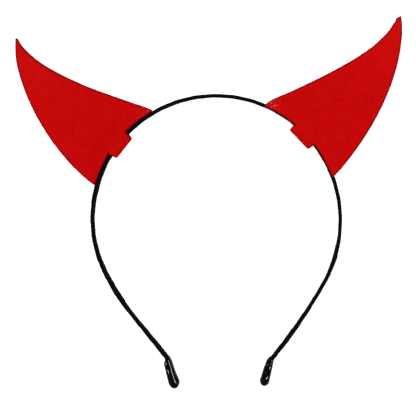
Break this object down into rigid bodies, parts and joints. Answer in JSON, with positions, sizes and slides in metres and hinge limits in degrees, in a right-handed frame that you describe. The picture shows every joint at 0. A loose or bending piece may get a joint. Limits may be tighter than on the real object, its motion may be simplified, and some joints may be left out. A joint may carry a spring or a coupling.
{
  "type": "devil horns headband",
  "caption": "Thin wound hoop headband with capped ends and two curved felt horns folded round its crown.",
  "frame": {"origin": "middle of the underside of the whole headband's box, on the surface that it lies on", "axes": "+X to the right horn as seen from the front, +Y from the capped ends over the crown to the horn tips, +Z from the back of the headband to its front, upwards as it lies on its back"},
  "size_m": [0.2, 0.1932, 0.009],
  "materials": {
    "ribbon": "black woven ribbon wound tightly round the strip, faint sheen",
    "cap": "black dipped coating, glossy and slightly lumpy",
    "felt": "bright red pressed felt, matt, with cut edges"
  },
  "bodies": {
    "root": {"wrapped_band": "ribbon", "end_cap_left": "cap", "end_cap_right": "cap", "horn_left": "felt", "horn_right": "felt"}
  },
  "joints": []
}
